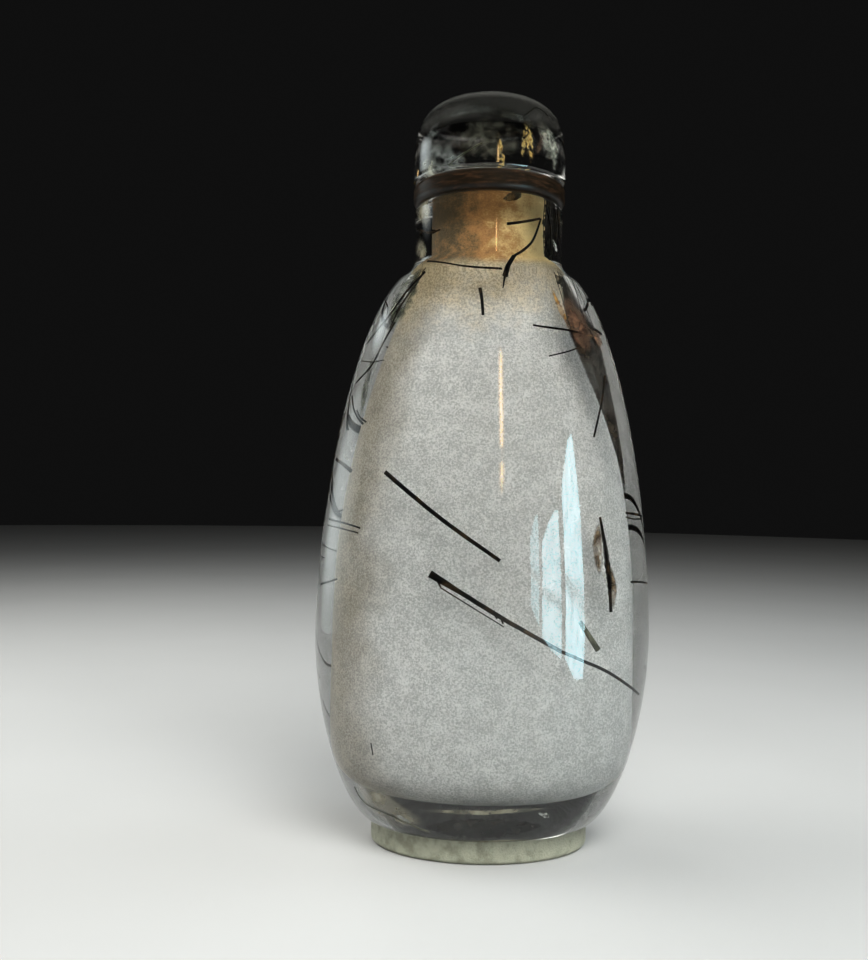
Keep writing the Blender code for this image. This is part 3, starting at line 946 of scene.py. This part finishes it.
# Near-black leaves: partly dark cracks, partly painted shade that keeps the clear stone dark.
leaf("dark_cracks_and_painted_shade", dark_crack_and_shade_film, [
    (((555, 275), (562, 282), (570, 292)), 9, (0.7 * MM, 0.9 * MM)),
    (((600, 520), (605, 545), (609, 580), (611, 612)), 6, (1.2 * MM, 1.5 * MM)),
    (((424, 827), (482, 829), (542, 826)), 21, (1.2 * MM, 1.6 * MM)),
    (((549, 198), (551, 230), (550, 262)), 17, (1.0 * MM, 1.8 * MM)),
    (((503, 199), (512, 198), (524, 194)), 9, (0.8 * MM, 1.0 * MM)),
    (((418, 236), (428, 233), (437, 231)), 6, (0.9 * MM, 1.1 * MM)),
])
# A smoky leaf down the right shoulder: partly a dark film, partly painted shade.
leaf("smoky_film_and_painted_shade", smoke_and_shade_film, [
    (((557, 264), (563, 280), (572, 306), (587, 344), (601, 386), (611, 420), (620, 458), (627, 505)),
     (16, 26, 32, 24, 16, 12, 8, 5), (1.3 * MM, 1.9 * MM)),
], ragged=0.05)
grow("foot_cracks", [
    seen(((355, 787), (362, 800), (373, 808), (385, 813)), (2.2, 1.8), 0.9 * MM),
    seen(((385, 813), (405, 822), (418, 828), (430, 832)), (1.8, 2.6), 0.9 * MM),
    seen(((460, 851), (472, 856), (486, 857)), (2.5, 2.0), 0.5 * MM),
], olive_skin, crook=0.3 * MM, bend_size=0.8 * MM, seed=8.0)

# The stopper's cork: a short tapered plug, cut from plain cork. It is glued under the collar and pressed
# into the bore, where it holds the stopper.
CORK_RADIUS = 3.05 * MM
CORK_TAPER = 0.2 * MM
CORK_SIDES = 64
CORK_TANS = (0.36, 0.20, 0.08), (0.60, 0.40, 0.20)
CORK_PORE = (0.14, 0.07, 0.03)
cork_low, cork_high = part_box("stopper_cork")


def cork_bark():
    """Cork: tan, darker in its pores, with a fine crumb."""
    material, shader, place = finish("cork_bark", {"Roughness": 0.85})
    crumb = place.noise(0.5 * MM, 4.0, 0.7)
    pores = place.noise(0.9 * MM, 1.0, stretch=(1.0, 1.0, 0.35)).step(0.62, 0.7)
    tan = crumb.blend(*CORK_TANS)
    paint(shader, Base_Color=pores.blend(tan, CORK_PORE), Normal=crumb.relief(0.06 * MM))
    return material


cork_rings = [(0.0, 0.0, cork_low.z), (CORK_RADIUS - CORK_TAPER,) * 2 + (cork_low.z,),
              (CORK_RADIUS,) * 2 + (cork_high.z,), (0.0, 0.0, cork_high.z)]
cork = loft("cork", cork_rings, CORK_SIDES, cork_bark())
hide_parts("stopper_cork")
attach(cork, "root")

# The collar: a thin disc turned from dark horn and polished, with rounded edges. It is glued between the
# cork and the cap, and rests on the flask's lip.
COLLAR_EDGE = 0.55 * MM
STOPPER_SIDES = 160
HORN_TINTS = (0.007, 0.005, 0.003), (0.036, 0.017, 0.008)
collar_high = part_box("stopper_collar")[1]
cap_low, cap_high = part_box("stopper_cap")


def polished_horn():
    """Horn, near black, with brown streaks round it where the light gets in."""
    material, shader, place = finish("polished_horn", {"IOR": 1.45, "Specular IOR Level": 0.2})
    streak = place.noise(1.2 * MM, 4.0, 0.6, stretch=(1.0, 1.0, 6.0))
    paint(shader, Base_Color=streak.step(0.45, 0.8).blend(*HORN_TINTS),
          Roughness=streak * 0.3 + 0.2, Normal=streak.relief(0.03 * MM))
    return material


out = collar_high.x - COLLAR_EDGE
collar_edge = corner((out, LIP_HEIGHT + COLLAR_EDGE), COLLAR_EDGE, -90, 0)
collar_edge += corner((out, cap_low.z - COLLAR_EDGE), COLLAR_EDGE, 0, 90)
collar_rings = [(0.0, 0.0, LIP_HEIGHT)] + [(r, r, h) for r, h in collar_edge] + [(0.0, 0.0, cap_low.z)]
collar = loft("collar", collar_rings, STOPPER_SIDES, polished_horn())
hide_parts("stopper_collar")
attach(collar, "root")

# The cap: a dome of clear rock crystal, turned and polished, glued on the collar. It is given a smoky tint
# of painted shade, stronger toward its top, to look as dark as it should over a pale table.
CAP_BASE_ROUNDING = 0.35 * MM
CAP_RISE, CAP_FALL = 4.0, 1.0 / 3.0
CAP_STEPS = 40
CAP_CLEAR = (0.78, 0.77, 0.73)
# The cap's dark tint toward its top is painted shade.
CAP_PAINTED_SHADE = (0.075, 0.074, 0.066)
CAP_SHADE_HEIGHTS = (cap_low.z + 3 * MM, cap_low.z + 5.5 * MM)

cap_wall = cap_low.z + CAP_BASE_ROUNDING
base = corner((cap_high.x - CAP_BASE_ROUNDING, cap_wall), CAP_BASE_ROUNDING, -90, 0)
dome = [(cap_high.x * fullness(s, CAP_RISE, CAP_FALL), cap_wall + (cap_high.z - cap_wall) * s)
        for s in shares(CAP_STEPS)]
cap_rings = [(0.0, 0.0, cap_low.z)] + [(r, r, h) for r, h in base + dome[1:]]
cap_polish = polished_stone("polished_cap", 0.03, CAP_CLEAR, CAP_PAINTED_SHADE, CAP_SHADE_HEIGHTS)
cap = loft("cap", cap_rings, STOPPER_SIDES, cap_polish)
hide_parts("stopper_cap")
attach(cap, "root")

# Inside the cap, as it grew: milky veils and fog near its skin, faint clouds behind them, a short healed
# crack that iron has stained rust, and two fine needles. Its three gold streaks are a painted reflection of
# the warm lamp.


def cap_skin(height):
    """Half width and half depth of the cap at a height."""
    share = min(1.0, max(0.0, (height - cap_wall) / (cap_high.z - cap_wall)))
    return (max(SEAM, cap_high.x * fullness(share, CAP_RISE, CAP_FALL)),) * 2


milky_film = crack_skin("milky_film", (0.22, 0.25, 0.25), (0.66, 0.73, 0.72), 0.0, 0.4, 0.5 * MM, 1.0)
leaf("cap_veils", milky_film, [
    (((432, 188), (434, 166), (439, 142)), 27, (0.8 * MM, 1.4 * MM)),
    (((444, 186), (449, 164), (453, 142)), 40, (1.6 * MM, 3.0 * MM)),
    (((429, 148), (432, 134), (441, 123), (455, 119)), 10, (0.8 * MM, 1.6 * MM)),
    (((444, 118), (468, 109), (500, 109)), 10, (0.8 * MM, 1.4 * MM)),
    (((500, 113), (522, 118), (539, 129)), 12, (0.9 * MM, 2.2 * MM)),
], cap_skin, ragged=0.1)
fog_film = crack_skin("fog_film", (0.34, 0.36, 0.31), (0.78, 0.80, 0.70), 0.1, 0.75, 0.4 * MM, 0.9)
leaf("cap_fog", fog_film, [
    (((538, 120), (547, 136), (550, 162)), 16, (0.8 * MM, 1.4 * MM)),
    (((547, 128), (554, 148), (555, 172)), 10, (0.5 * MM, 0.7 * MM)),
    (((427, 188), (428, 172), (430, 154)), 16, (0.5 * MM, 0.9 * MM)),
], cap_skin, ragged=0.1)
dim_film = crack_skin("dim_film", (0.04, 0.04, 0.03), (0.26, 0.26, 0.21), 0.0, 0.55, 0.6 * MM, 1.0)
leaf("cap_clouds", dim_film, [
    (((444, 142), (487, 138), (534, 142)), 46, (3.2 * MM, 3.8 * MM)),
    (((452, 116), (487, 110), (528, 116)), 16, (1.6 * MM, 2.4 * MM)),
], cap_skin, ragged=0.1)
# Gold streaks in the cap: a painted reflection of the warm lamp, bright gold on thin leaves.
painted_lamp_glint = crack_skin("painted_lamp_glint_film", (0.3, 0.15, 0.03), (1.0, 0.8, 0.34), 0.0, 1.0, 0.22 * MM,
                         0.6)
leaf("cap_painted_lamp_glints", painted_lamp_glint, [
    (((505, 164), (500, 154), (500, 138)), 8, (2.0 * MM, 2.3 * MM)),
    (((524, 128), (524, 143), (522, 158)), 5, (1.9 * MM, 2.2 * MM)),
    (((531, 163), (530, 143), (525, 120)), 9, (1.6 * MM, 2.2 * MM)),
], cap_skin)
leaf("cap_rust", rust_film, [
    (((536, 154), (541, 144), (543, 131)), 8, (1.2 * MM, 1.9 * MM)),
], cap_skin)
grow("cap_needles", [
    seen(((444, 167), (462, 155), (482, 143)), (1.6, 1.0), 3.0 * MM, cap_skin),
    seen(((520, 118), (536, 108), (548, 116)), (1.2, 0.9), 1.6 * MM, cap_skin),
], olive_skin, crook=0.3 * MM, seed=9.0)
